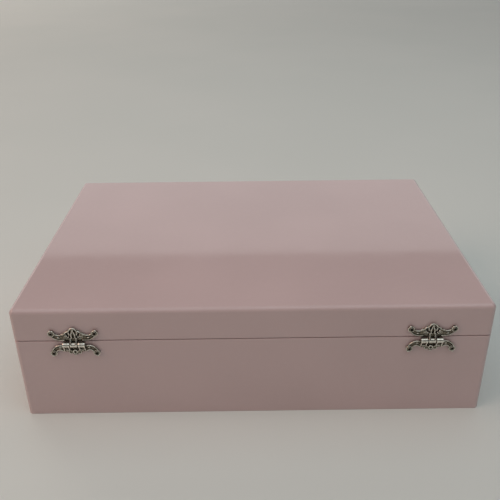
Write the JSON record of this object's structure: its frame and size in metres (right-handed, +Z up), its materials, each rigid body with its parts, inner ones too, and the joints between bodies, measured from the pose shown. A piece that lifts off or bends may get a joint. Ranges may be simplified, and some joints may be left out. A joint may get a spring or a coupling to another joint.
{
  "type": "jewelry box",
  "caption": "Flat rectangular lidded box with ornate rear hinges, a front latch and a velvet lining divided into compartments with ring rolls.",
  "frame": {"origin": "centre of the box's underside, on the surface it stands on", "axes": "+Z up, +Y to the rear, where the hinges are, -Y to the front, where the latch is, +X to the right as seen from the front"},
  "size_m": [0.3, 0.2228, 0.081],
  "materials": {
    "pink_paint": "satin dusty-pink paint on smooth fibreboard",
    "bare_board": "raw fibreboard",
    "cast_nickel": "antiqued nickel plating, dark in the recesses and bright on the high spots",
    "steel": "dulled plated steel",
    "velvet": "short-pile ivory velvet",
    "foam": "velvet-covered foam"
  },
  "bodies": {
    "base": {"base_floor_board": "bare_board", "base_front_wall": "pink_paint", "base_rear_wall": "pink_paint", "base_left_wall": "pink_paint", "base_right_wall": "pink_paint", "lining_floor": "velvet", "lining_front": "velvet", "lining_rear": "velvet", "lining_left": "velvet", "lining_right": "velvet", "divider_long_front": "velvet", "divider_long_rear": "velvet", "divider_cross_1": "velvet", "divider_cross_2": "velvet", "divider_cross_3": "velvet", "ring_bed": "foam", "ring_roll_1": "velvet", "ring_roll_2": "velvet", "ring_roll_3": "velvet", "ring_roll_4": "velvet", "hinge_left_lower_leaf": "cast_nickel", "hinge_left_pin": "steel", "hinge_left_screw_lower_1": "steel", "hinge_left_screw_lower_2": "steel", "hinge_right_lower_leaf": "cast_nickel", "hinge_right_pin": "steel", "hinge_right_screw_lower_1": "steel", "hinge_right_screw_lower_2": "steel", "catch_plate": "cast_nickel", "catch_screw_1": "steel", "catch_screw_2": "steel"},
    "lid": {"lid_top_board": "pink_paint", "lid_front_wall": "pink_paint", "lid_rear_wall": "pink_paint", "lid_left_wall": "pink_paint", "lid_right_wall": "pink_paint", "lid_pad": "velvet", "hinge_left_upper_leaf": "cast_nickel", "hinge_left_screw_upper_1": "steel", "hinge_left_screw_upper_2": "steel", "hinge_right_upper_leaf": "cast_nickel", "hinge_right_screw_upper_1": "steel", "hinge_right_screw_upper_2": "steel", "latch_plate": "cast_nickel", "latch_pin": "steel", "latch_screw_1": "steel", "latch_screw_2": "steel"},
    "hasp": {"latch_hasp": "cast_nickel"}
  },
  "joints": [
    {"name": "lid_hinge", "type": "hinge", "parent": "base", "child": "lid", "pos_m": [0, 0.1097, 0.05715], "axis": [-1, 0, 0], "range_deg": [0, 110]},
    {"name": "hasp_swing", "type": "hinge", "parent": "lid", "child": "hasp", "pos_m": [0, -0.1097, 0.06195], "axis": [-1, 0, 0], "range_deg": [0, 150]}
  ]
}
